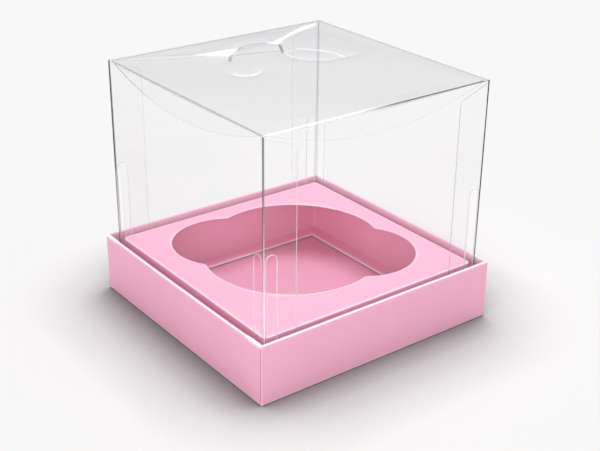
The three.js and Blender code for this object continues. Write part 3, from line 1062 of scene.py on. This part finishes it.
def build_lid(film):
    """The lid: a dented panel, its hinge fold at +X and three tuck flaps, as one sheet."""
    reach = LID_SIDE - TUCK_INSET
    low, high = TUCK_INSET - LID_FRONT, BOX_HALF - 2 * TUCK_INSET
    along_y = np.linspace(-reach, reach, LID_COLUMNS)
    along_x = np.linspace(low, high, LID_COLUMNS)
    ys = np.concatenate([[-LID_SIDE + LID_FOLD], along_y, [LID_SIDE - LID_FOLD]])
    xs = np.concatenate([[-LID_FRONT + LID_FOLD], along_x, [BOX_HALF - HINGE_FOLD]])
    grid = np.stack(np.meshgrid(xs, ys, indexing="xy"), -1)
    rise, gleam, shade = lid_marks(grid)
    panel = np.concatenate([grid, (BOX_TOP + film.dent_depth * np.minimum(rise, 0.5))[..., None]], -1)

    # painted highlight and painted shade on each tuck flap's fold and free edge
    light, dark = near_edge_marks((along_x - low) / (high - low))
    points, faces, *marks = lid_flap(
        along_x, low, high, TUCK_TURN, lambda x, out: (x, -LID_SIDE + LID_FOLD - out),
        (light, 0.1), (dark, 0.05))
    near = (points[::-1], faces, *(mark[::-1] for mark in marks))
    far = lid_flap(along_x, low, high, REAR_TURN, lambda x, out: (x, LID_SIDE - LID_FOLD + out),
                   (0.1, 0.25), (0.15, 0.08))
    far_end = smooth(along_y / reach, 0.3, 0.95)
    front = lid_flap(along_y, -reach, reach, TUCK_TURN, lambda y, out: (-LID_FRONT + LID_FOLD - out, y),
                     (0.3, 0.1), (0.8, 0.06 + 0.75 * far_end))

    a = np.linspace(0, np.pi / 2, HINGE_ROWS)[:, None]
    hinge = np.stack(np.broadcast_arrays(BOX_HALF - HINGE_FOLD + HINGE_FOLD * np.sin(a), ys,
                                         BOX_TOP - HINGE_FOLD * (1 - np.cos(a))), -1)
    # painted highlight and painted shade along the hinge fold
    band = bump_at(np.arange(HINGE_ROWS)[:, None], 3, 1.5) * np.ones(len(ys))
    merged, faces, values = joined([
        (panel, grid_faces(len(ys), len(xs)), gleam, shade), near, far, front,
        (hinge[::-1], grid_faces(HINGE_ROWS, len(ys)), 0.1 * band, 0.15 * band),
    ])
    piece = mesh_piece("clear_lid_film", merged, faces, (), values)
    sharpen(piece, FILM_SHARP)
    thicken(piece, film.thickness)
    return piece


# ---- Stage ----


def seen_rays(tree, place):
    """1 for rays from the camera, off a mirror or through clear film, and 0 for rays that light things."""
    path = add(tree, "ShaderNodeLightPath", place).outputs
    seen = path["Is Camera Ray"]
    for name in ("Is Glossy Ray", "Is Transmission Ray"):
        seen = maths(tree, "MAXIMUM", (place[0] + 200, place[1]), seen, path[name])
    return seen


def floor_material(stage):
    """Pale floor: lit near the box so that it keeps the shadow, and for the camera one even tone far off.

    Near the box the floor's colour is multiplied by its open share^CONTACT_POWER, a painted contact shadow on
    top of the lamps' shadow. The even tone takes over by the distance from the origin, smoothly from
    TONE_START to TONE_END.
    """
    material, tree = new_material("pale floor")
    free = add(tree, "ShaderNodeAmbientOcclusion", (-700, 0), Distance=CONTACT_REACH, samples=12)
    contact = maths(tree, "POWER", (-500, 0), free.outputs["AO"], CONTACT_POWER, label="painted contact shadow")
    toned = add(tree, "ShaderNodeVectorMath", (-300, 0), inputs={0: stage.floor_colour}, operation="SCALE",
                Scale=contact)
    lit = add(tree, "ShaderNodeBsdfPrincipled", (0, 0), Base_Color=toned, Roughness=0.85,
              Specular_IOR_Level=0.0)
    tone = add(tree, "ShaderNodeEmission", (0, -300), Color=BACKGROUND, Strength=1.0)
    far = add(tree, "ShaderNodeVectorMath", (-500, 200), inputs={0: place_in_object(tree, (-700, 200))},
              operation="LENGTH").outputs["Value"]
    share = map_range(tree, (-300, 200), far, TONE_START, TONE_END, interpolation_type="SMOOTHSTEP")
    both = maths(tree, "MULTIPLY", (-100, 200), share, seen_rays(tree, (-500, -100)))
    add(tree, "ShaderNodeOutputMaterial", (600, 0), Surface=mixed_shader(tree, (300, 0), both, lit, tone))
    return material


def build_world(stage):
    """Even light, and what is seen past the floor: its far tone to the camera, and white in reflections.

    The white in reflections is a little darker towards the horizon.
    """
    world = bpy.data.worlds.new("white studio")
    bpy.context.scene.world = world
    world.use_nodes = True
    tree = world.node_tree
    tree.nodes.clear()
    light = add(tree, "ShaderNodeBackground", (0, 0), Color=WHITE, Strength=stage.world_strength)
    way = add(tree, "ShaderNodeTexCoord", (-900, -300)).outputs["Generated"]
    rise = add(tree, "ShaderNodeSeparateXYZ", (-700, -300), Vector=way).outputs["Z"]
    band = map_range(tree, (-500, -300), rise, 0.05, 0.75, interpolation_type="SMOOTHSTEP")
    tone = mixed_colour(tree, (-300, -300), "in reflections", band, HORIZON, WHITE)
    straight = add(tree, "ShaderNodeLightPath", (-350, -600)).outputs["Is Camera Ray"]
    direct = mixed_colour(tree, (-150, -300), "as the floor's far tone", straight, tone, BACKGROUND)
    shown = add(tree, "ShaderNodeBackground", (0, -200), Color=direct, Strength=1.0)
    mixed = mixed_shader(tree, (300, 0), seen_rays(tree, (-500, 200)), light, shown)
    add(tree, "ShaderNodeOutputWorld", (500, 0), Surface=mixed)


def placed(name, data, right, up, back, place):
    """An object for a lamp or camera, from its own X, Y and Z directions and its place in metres."""
    piece = bpy.data.objects.new(name, data)
    bpy.context.scene.collection.objects.link(piece)
    matrix = np.eye(4)
    matrix[:3, :3] = np.stack([right, up, back], -1)
    matrix[:3, 3] = place
    piece.matrix_world = Matrix(matrix.tolist())
    return piece


def area_lamp(name, place, size, power):
    """A soft square lamp that looks at the middle of the box."""
    lamp = bpy.data.lights.new(name, "AREA")
    lamp.shape = "SQUARE"
    lamp.size = size
    lamp.energy = power
    back = (place - LAMP_AIM) / np.linalg.norm(place - LAMP_AIM)
    right = np.cross([0, 1, 0], back)
    right /= np.linalg.norm(right)
    placed(name, lamp, right, np.cross(back, right), back, place).visible_glossy = False


def build_camera(stage):
    """The camera at the photograph's place: looks along (sin y cos p, cos y cos p, -sin p), then rolls."""
    yaw, pitch, roll = (math.radians(a) for a in (CAMERA_YAW, CAMERA_PITCH, CAMERA_ROLL))
    forward = np.array([math.sin(yaw) * math.cos(pitch), math.cos(yaw) * math.cos(pitch), -math.sin(pitch)])
    right = np.array([math.cos(yaw), -math.sin(yaw), 0])
    up = np.cross(right, forward)
    across = math.cos(roll) * right + math.sin(roll) * up
    upward = math.cos(roll) * up - math.sin(roll) * right
    data = bpy.data.cameras.new("camera")
    data.lens = stage.lens
    data.sensor_width = 36.0
    data.clip_start = 0.01
    bpy.context.scene.camera = placed("camera", data, across, upward, -forward, np.array(CAMERA_PLACE) * MM)


# ---- Operators ----


class CUPCAKE_OT_tray(bpy.types.Operator):
    """Make the folded pink card tray"""

    bl_idname = "cupcake.tray"
    bl_label = "Card Tray"

    def execute(self, context):
        card = context.scene.cupcake_card
        finish_piece(build_tray(card), "box", ["tray"], [card_face(card)])
        return {"FINISHED"}


class CUPCAKE_OT_insert(bpy.types.Operator):
    """Make the card insert with its lobed hole"""

    bl_idname = "cupcake.insert"
    bl_label = "Card Insert"

    def execute(self, context):
        card = context.scene.cupcake_card
        finish_piece(build_insert(card), "box", ["insert"], [card_face(card), card_cut(card)])
        return {"FINISHED"}


class CUPCAKE_OT_clear_box(bpy.types.Operator):
    """Make the clear box's bottom, walls and corner flaps"""

    bl_idname = "cupcake.clear_box"
    bl_label = "Clear Box"

    def execute(self, context):
        film = context.scene.cupcake_film
        finish_piece(build_clear_box(film), "box", ["clear_box"], film_materials(film))
        return {"FINISHED"}


class CUPCAKE_OT_clear_lid(bpy.types.Operator):
    """Make the clear lid with its dents, creases and tuck flaps"""

    bl_idname = "cupcake.clear_lid"
    bl_label = "Clear Lid"

    def execute(self, context):
        film = context.scene.cupcake_film
        finish_piece(build_lid(film), "lid", ["clear_lid"], film_materials(film))
        return {"FINISHED"}


class CUPCAKE_OT_stage(bpy.types.Operator):
    """Make the pale floor, the studio light and the camera"""

    bl_idname = "cupcake.stage"
    bl_label = "Floor, Light and Camera"

    def execute(self, context):
        stage = context.scene.cupcake_stage
        corners = np.array([[-1, -1, 0], [1, -1, 0], [1, 1, 0], [-1, 1, 0]]) * FLOOR_HALF / MM
        floor = mesh_piece("floor", corners, np.array([[0, 1, 2, 3]]))
        floor.data.materials.append(floor_material(stage))
        build_world(stage)
        area_lamp("key lamp", KEY_PLACE, KEY_SIZE, stage.key_power)
        area_lamp("fill lamp", FILL_PLACE, FILL_SIZE, stage.fill_power)
        build_camera(stage)
        context.scene.view_settings.view_transform = "Standard"
        context.scene.cycles.transparent_max_bounces = 48
        return {"FINISHED"}


class VIEW3D_PT_cupcake_box(bpy.types.Panel):
    """Sidebar panel that lists the box's settings and its pieces"""

    bl_idname = "VIEW3D_PT_cupcake_box"
    bl_label = "Cupcake Box"
    bl_space_type = "VIEW_3D"
    bl_region_type = "UI"
    bl_category = "Cupcake Box"

    def draw(self, context):
        for group, operators in PANEL_ROWS:
            settings = getattr(context.scene, group)
            box = self.layout.box()
            for name in settings.bl_rna.properties.keys():
                if name not in ("rna_type", "name"):
                    box.prop(settings, name)
            for operator in operators:
                box.operator(operator)


PANEL_ROWS = (
    ("cupcake_card", ("cupcake.tray", "cupcake.insert")),
    ("cupcake_film", ("cupcake.clear_box", "cupcake.clear_lid")),
    ("cupcake_stage", ("cupcake.stage",)),
)

CLASSES = (
    CardSettings,
    FilmSettings,
    StageSettings,
    CUPCAKE_OT_tray,
    CUPCAKE_OT_insert,
    CUPCAKE_OT_clear_box,
    CUPCAKE_OT_clear_lid,
    CUPCAKE_OT_stage,
    VIEW3D_PT_cupcake_box,
)


def register():
    for kind in CLASSES:
        bpy.utils.register_class(kind)
    bpy.types.Scene.cupcake_card = bpy.props.PointerProperty(type=CardSettings)
    bpy.types.Scene.cupcake_film = bpy.props.PointerProperty(type=FilmSettings)
    bpy.types.Scene.cupcake_stage = bpy.props.PointerProperty(type=StageSettings)


def unregister():
    del bpy.types.Scene.cupcake_stage
    del bpy.types.Scene.cupcake_film
    del bpy.types.Scene.cupcake_card
    for kind in reversed(CLASSES):
        bpy.utils.unregister_class(kind)


def main():
    """Registers the add-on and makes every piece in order."""
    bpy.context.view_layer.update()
    register()
    bpy.ops.cupcake.tray()
    bpy.ops.cupcake.insert()
    bpy.ops.cupcake.clear_box()
    bpy.ops.cupcake.clear_lid()
    bpy.ops.cupcake.stage()


if __name__ == "__main__":
    main()
